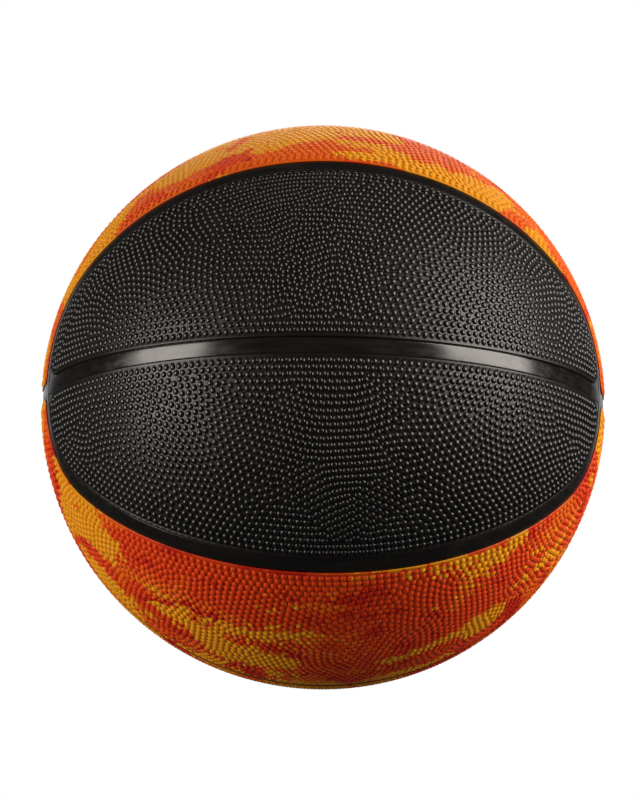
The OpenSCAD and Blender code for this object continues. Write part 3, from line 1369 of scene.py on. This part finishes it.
@dataclass(frozen=True)
class WoundThread:
    """Nylon thread wound round the bladder on many great circles."""

    name: str = "wound_nylon_thread"
    colour: Colour = srgb(226, 222, 210)
    gap: Colour = srgb(120, 114, 104)
    thread: float = 0.5 * MM
    shift: tuple[float, float, float] = (0.01, 0.02, 0.03)
    bands: float = 0.31
    distortion: float = 1.5
    detail: float = 1.0
    detail_scale: float = 0.4
    roughness: float = 0.55
    depth: float = 0.15 * MM
    strength: float = 0.8

    def make(self) -> bpy.types.Material:
        """Builds the material.

        Returns:
            The material.
        """
        shader = Shader(bpy.data.materials.new(self.name))
        place = shader.place()
        x, y, z = self.shift
        waves = [
            shader.node("ShaderNodeTexWave", {"wave_type": "BANDS", "bands_direction": axis}, {
                "Vector": shader.vector("ADD", place, (x * n, y, z * n)),
                "Scale": self.bands / self.thread,
                "Distortion": self.distortion,
                "Detail": self.detail,
                "Detail Scale": self.detail_scale,
            }, "Fac")
            for n, axis in enumerate(("X", "Y", "Z"))
        ]
        weave = waves[0].math("MAXIMUM", waves[0], waves[1]).math("MAXIMUM", waves[1], waves[2])
        normal = shader.bump(weave, self.depth, self.strength)
        return shader.surface(shader.mix(weave, self.gap, self.colour), self.roughness, normal)


@dataclass
class Wardrobe:
    """All the ball's materials."""

    black: bpy.types.Material
    camouflage: bpy.types.Material
    channel: bpy.types.Material
    carcass: bpy.types.Material
    bladder: bpy.types.Material
    valve: bpy.types.Material
    thread: bpy.types.Material

    @classmethod
    def make(cls) -> "Wardrobe":
        """Makes each material once.

        Returns:
            The materials.
        """
        return cls(
            black=PebbledRubber().make(),
            camouflage=CamouflagePrint().make(),
            channel=SmoothRubber().make(),
            carcass=PlainRubber("carcass_rubber", srgb(58, 56, 55), roughness=0.6).make(),
            bladder=PlainRubber("butyl_bladder_rubber", srgb(42, 42, 44), roughness=0.45).make(),
            valve=PlainRubber("valve_rubber", srgb(52, 51, 50), roughness=0.42, grain=0.5 * MM).make(),
            thread=WoundThread().make(),
        )

    def dress(self, node: str, material: bpy.types.Material) -> None:
        """Gives a carried-over solid its material.

        Args:
            node: The solid's name.
            material: What it wears.
        """
        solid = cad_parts[node]
        solid.data.materials.clear()
        solid.data.materials.append(material)
        log.info("%s wears %s", node, material.name)


@dataclass
class Cover:
    """The eight moulded panels. A panel's middle is given in degrees above the centre channel."""

    wardrobe: Wardrobe
    oval_middle: float = 22.0
    outer_middle: float = 67.0
    upper_seed: int = 11
    lower_seed: int = 13
    ball: Ball = field(default_factory=Ball)

    def panels(self) -> list[CoverPanel]:
        """All panels, front and rear. The rear ones repeat the front ones' pebbles, apart from the valve's.

        Returns:
            The panels, not built yet.
        """
        ball, black, camouflage = self.ball, self.wardrobe.black, self.wardrobe.camouflage
        oval, outer = OvalOutline(ball), OuterOutline(ball)
        bare = Bare(direction(0, ball.valve_angle), ball.angle(ball.plug_head + CoverPanel.pad))
        made = []
        for level, oval_fans, outer_fans, seed in (
            ("upper", UPPER_OVAL_FANS, UPPER_OUTER_FANS, self.upper_seed),
            ("lower", LOWER_OVAL_FANS, LOWER_OUTER_FANS, self.lower_seed),
        ):
            oval_layout = PebbleField(oval, oval_fans, seed).lay()
            outer_layout = PebbleField(outer, outer_fans, seed + 1).lay()
            for face in ("front", "rear"):
                place = Place[f"{face}_{level}".upper()]
                has_valve = place is Place.REAR_UPPER
                if has_valve:
                    oval_layout = PebbleField(oval, oval_fans, seed, bare).lay()
                made.append(CoverPanel(
                    f"{face}_{level}_oval_panel", place, oval, black, "cover_black", seed,
                    direction(0, self.oval_middle), oval_layout, has_valve,
                ))
                made.append(CoverPanel(
                    f"{face}_{level}_outer_panel", place, outer, camouflage, "cover_camouflage", seed + 1,
                    direction(0, self.outer_middle), outer_layout,
                ))
        return made

    def build(self) -> None:
        """Builds every panel."""
        for panel in self.panels():
            panel.build()


@dataclass
class Channels:
    """The smooth channels: their solids, and on each floor a rubber strip with a crown and rounded edges.

    The turns are about how long the oval's arcs are, in radians, and give each its count of points.
    """

    wardrobe: Wardrobe
    ball: Ball = field(default_factory=Ball)
    half_profile: tuple[tuple[float, float], ...] = (
        (3.4 * MM, -0.1 * MM), (3.3 * MM, 0.02 * MM), (3.13 * MM, 0.12 * MM), (2.9 * MM, 0.19 * MM),
        (2.55 * MM, 0.23 * MM), (1.4 * MM, 0.27 * MM), (0.0, 0.28 * MM),
    )
    under: float = 0.2 * MM
    step: float = 1.5 * MM
    tip_turn: float = 3.2
    side_turn: float = 2.1
    branch_drop: float = 0.03 * MM

    def profile(self, drop: float) -> list[tuple[float, float]]:
        """A strip's section: places across it, as angles, with their radii. The last two close it below.

        Args:
            drop: How much lower the strip lies where it runs into another one.

        Returns:
            Pairs in order round the section.
        """
        floor = self.ball.crest - self.ball.channel_depth
        half = [(self.ball.angle(across), floor + lift - drop) for across, lift in self.half_profile]
        top = half + [(-across, radius) for across, radius in half[-2::-1]]
        edge = half[0][0]
        return top + [(-edge, floor - self.under), (edge, floor - self.under)]

    def oval(self, inset: float) -> Vec:
        """The front oval's line at an inset.

        Args:
            inset: Angle from the channel's middle line, positive inside the oval.

        Returns:
            An array of unit vectors.
        """
        right = OvalOutline(self.ball).side_end(inset)
        left = right * TO_LEFT
        tip = Arc(self.ball.tip_middle, self.ball.tip_radius - inset)
        side = Arc(self.ball.side_normal, math.pi / 2 - inset)
        runs = (
            (tip, right * TO_LOWER, right),
            (side, right, left),
            (Arc(tip.axis * TO_LEFT, tip.angle), left, left * TO_LOWER),
            (Arc(side.axis * TO_LOWER, side.angle), left * TO_LOWER, right * TO_LOWER),
        )
        turns = (self.ball.tip_radius * self.tip_turn, self.side_turn) * 2
        return np.concatenate([
            arc.sweep(start, stop, math.ceil(turn * self.ball.crest / self.step))
            for (arc, start, stop), turn in zip(runs, turns)
        ])

    def girth(self, inset: float) -> Vec:
        """The girth's line at an inset.

        Args:
            inset: Angle from the girth's middle line, positive towards the front.

        Returns:
            An array of unit vectors.
        """
        count = math.ceil(2 * math.pi * self.ball.crest / self.step)
        t = np.linspace(0, 2 * math.pi, count, endpoint=False)
        reach = math.cos(inset)
        return np.stack([reach * np.cos(t), np.full(len(t), -math.sin(inset)), reach * np.sin(t)], 1)

    def straight(self, start: float, end: float, inset: float) -> Vec:
        """A line beside the centre channel's middle.

        Args:
            start: Where it starts, in degrees from the front's middle towards +X.
            end: Where it ends.
            inset: Angle from the middle line, positive upwards.

        Returns:
            An array of unit vectors.
        """
        count = math.ceil(abs(math.radians(end - start)) * self.ball.crest / self.step) + 1
        t = np.radians(np.linspace(start, end, count))
        reach = math.cos(inset)
        return np.stack([reach * np.sin(t), -reach * np.cos(t), np.full(count, math.sin(inset))], 1)

    def strip(self, name: str, lines: Sequence[Vec], radii: Sequence[float], closed: bool,
              place: Place) -> None:
        """Builds and dresses one strip.

        Args:
            name: The piece's name.
            lines: Its lines, in order round the section.
            radii: The lines' radii.
            closed: Whether the lines run all the way round.
            place: Where it lies.
        """
        parts = MeshParts()
        numbers = [parts.add(line * radius) for line, radius in zip(lines, radii)]
        for one, other in zip(numbers, numbers[1:] + numbers[:1]):
            if closed:
                parts.strip(one, other)
            else:
                parts.faces.extend(zip(one, one[1:], other[1:], other))
        if not closed:
            parts.faces.append(tuple(line[0] for line in numbers))
            parts.faces.append(tuple(line[-1] for line in reversed(numbers)))
        parts.creases.extend([numbers[-1], numbers[-2], numbers[0], numbers[-3]])
        piece = parts.piece(name, place)
        piece.data.materials.append(self.wardrobe.channel)
        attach(piece, "root")
        log.info("%s: %d faces", piece.name, len(piece.data.polygons))

    def build(self) -> None:
        """Dresses the channels' solids and lays the strips on them."""
        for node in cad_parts:
            if node.endswith("_channel"):
                self.wardrobe.dress(node, self.wardrobe.channel)
        across, level = zip(*self.profile(0.0))
        low = [radius for _, radius in self.profile(self.branch_drop)]
        tip = self.ball.tip
        runs = (("centre", -tip, tip), ("left_link", -90.0, -tip), ("right_link", tip, 90.0))
        self.strip("girth_strip", [self.girth(inset) for inset in across], level, True, Place.FRONT_UPPER)
        for face, place in (("front", Place.FRONT_UPPER), ("rear", Place.REAR_UPPER)):
            self.strip(f"{face}_oval_strip", [self.oval(inset) for inset in across], level, True, place)
            for name, start, end in runs:
                lines = [self.straight(start, end, inset) for inset in across]
                self.strip(f"{face}_{name}_strip", lines, low, False, place)


@dataclass
class InnerLayers:
    """Bladder, winding, carcass and valve."""

    wardrobe: Wardrobe

    def build(self) -> None:
        """Dresses the inner solids."""
        wear = {
            "bladder": self.wardrobe.bladder,
            "thread_winding": self.wardrobe.thread,
            "carcass": self.wardrobe.carcass,
            "valve_boot": self.wardrobe.valve,
            "valve_plug": self.wardrobe.valve,
        }
        for node, material in wear.items():
            self.wardrobe.dress(node, material)


@dataclass(frozen=True)
class Softbox:
    """A lamp that faces the ball.

    It hangs so many metres to the right, over the ball's centre and ahead of the ball, as the front is seen.
    Its width and height are in metres and its power in watts.
    """

    name: str
    side: float
    up: float
    ahead: float
    size: tuple[float, float]
    power: float
    colour: Colour = (1.0, 0.93, 0.86)

    def hang(self) -> None:
        """Hangs the lamp."""
        data = bpy.data.lights.new(self.name, "AREA")
        data.shape = "RECTANGLE"
        data.size, data.size_y = self.size
        data.energy = self.power
        data.color = self.colour
        lamp = bpy.data.objects.new(self.name, data)
        place = Vector((self.side, -self.ahead, self.up))
        lamp.location = place
        lamp.rotation_euler = (-place).to_track_quat("-Z", "Y").to_euler()
        bpy.context.scene.collection.objects.link(lamp)


@dataclass
class Studio:
    """Camera, floor, lamps and world."""

    ball: Ball = field(default_factory=Ball)
    image_size: tuple[int, int] = (640, 800)
    centre_px: tuple[float, float] = (323.0, 407.4)
    radius_px: float = 282.3
    distance: float = 12.5
    tilt: float = 11.97
    yaw: float = 0.6
    roll: float = -0.88
    sensor: float = 36.0
    nearest: float = 0.05
    floor_size: float = 2.4
    floor_colour: Colour = (0.85, 0.85, 0.85)
    floor_fade: tuple[float, float] = (0.4, 1.1)
    floor_bounce: float = 0.1
    front_fill: float = 0.01
    back_fill: float = 0.4
    back_fill_from: tuple[float, float] = (-0.2, 0.8)
    room_gloss: float = 0.03
    backdrop_gloss: float = 0.6
    backdrop_back: tuple[float, float] = (0.78, 0.93)
    backdrop_up: tuple[float, float] = (0.02, 0.18)
    lamps: tuple[Softbox, ...] = (
        Softbox("left_softbox", side=-1.35, up=0.07, ahead=0.67, size=(0.85, 1.1), power=17.5),
        Softbox("right_softbox", side=1.3, up=0.5, ahead=0.53, size=(1.05, 1.25), power=27),
        Softbox("back_softbox", side=0.0, up=1.25, ahead=-1.35, size=(1.0, 0.6), power=9),
    )

    def turn(self) -> Matrix:
        """The camera's turn.

        Returns:
            A matrix that carries the camera's axes to the frame's.
        """
        to_screen = Matrix(((1, 0, 0), (0, 0, 1), (0, -1, 0)))
        pose = (
            Matrix.Rotation(math.radians(self.roll), 3, "Z")
            @ Matrix.Rotation(math.radians(self.yaw), 3, "Y")
            @ Matrix.Rotation(math.radians(-self.tilt), 3, "X")
        )
        return (pose @ to_screen).transposed()

    def camera(self) -> None:
        """Sets the camera at the photograph's angle."""
        wide, high = self.image_size
        focal_px = self.radius_px * math.sqrt(self.distance**2 - 1)
        data = bpy.data.cameras.new("camera")
        data.sensor_width = self.sensor
        data.lens = focal_px * self.sensor / high
        data.shift_x = (wide / 2 - self.centre_px[0]) / high
        data.shift_y = (self.centre_px[1] - high / 2) / high
        data.clip_start = self.nearest
        turn = self.turn()
        camera = bpy.data.objects.new("camera", data)
        away = turn @ Vector((0, 0, self.distance * self.ball.crest))
        camera.matrix_world = Matrix.Translation(away) @ turn.to_4x4()
        bpy.context.scene.collection.objects.link(camera)
        bpy.context.scene.camera = camera

    def floor(self) -> None:
        """Lays a pale floor that fades to white. The photo looks up at the ball and doesn't show it."""
        half = self.floor_size / 2
        level = cad_box[0][2]
        corners = [(x * half, y * half, level) for x, y in ((-1, -1), (1, -1), (1, 1), (-1, 1))]
        mesh = bpy.data.meshes.new("floor")
        mesh.from_pydata(corners, [], [(0, 1, 2, 3)])
        floor = bpy.data.objects.new("floor", mesh)
        bpy.context.scene.collection.objects.link(floor)
        shader = Shader(bpy.data.materials.new("pale_floor"))
        under = shader.node("ShaderNodeNewGeometry", {}, {}, "Backfacing")
        open_to = (
            under + self.ray(shader, "Is Shadow Ray") + self.ray(shader, "Is Glossy Ray")
            + (1 - self.floor_bounce) * self.ray(shader, "Is Diffuse Ray")
            + shader.height(shader.place(), *self.floor_fade)
        )
        pale = shader.node("ShaderNodeBsdfDiffuse", {}, {"Color": (*self.floor_colour, 1)})
        clear = shader.node("ShaderNodeBsdfTransparent", {}, {})
        share = open_to.math("MINIMUM", open_to, 1.0)
        both = shader.node("ShaderNodeMixShader", {}, {0: share, 1: pale, 2: clear})
        shader.node("ShaderNodeOutputMaterial", {}, {"Surface": both})
        floor.data.materials.append(shader.owner)

    @staticmethod
    def ray(shader: Shader, kind: str) -> Signal:
        """Whether a ray is of a kind."""
        return shader.node("ShaderNodeLightPath", {}, {}, kind)

    def world(self) -> None:
        """Shows white behind the ball, and a white backdrop in a dark room to its gloss."""
        world = bpy.data.worlds.new("studio")
        shader = Shader(world)
        way = shader.node("ShaderNodeTexCoord", {}, {}, "Generated")
        back, up = shader.part(way, "Y"), shader.part(way, "Z")
        seen = self.ray(shader, "Is Camera Ray") + self.ray(shader, "Is Transmission Ray")
        behind = back.ramp(*self.back_fill_from)
        fill = self.ray(shader, "Is Diffuse Ray") * (self.front_fill + self.back_fill * behind)
        backdrop = self.backdrop_gloss * back.ramp(*self.backdrop_back) * up.ramp(*self.backdrop_up)
        gloss = self.ray(shader, "Is Glossy Ray") * (self.room_gloss + backdrop)
        strength = seen + fill + gloss
        room = shader.node("ShaderNodeBackground", {}, {"Color": (1, 1, 1, 1), "Strength": strength})
        shader.node("ShaderNodeOutputWorld", {}, {"Surface": room})
        bpy.context.scene.world = world

    def build(self) -> None:
        """Builds the studio."""
        bpy.context.scene.view_settings.view_transform = "Standard"
        self.camera()
        self.floor()
        self.world()
        for lamp in self.lamps:
            lamp.hang()


def main() -> None:
    """Builds the whole scene in order."""
    logging.basicConfig(level=logging.INFO, format="%(message)s")
    Studio().build()
    wardrobe = Wardrobe.make()
    for group in (InnerLayers(wardrobe), Channels(wardrobe), Cover(wardrobe)):
        group.build()


if __name__ == "__main__":
    main()
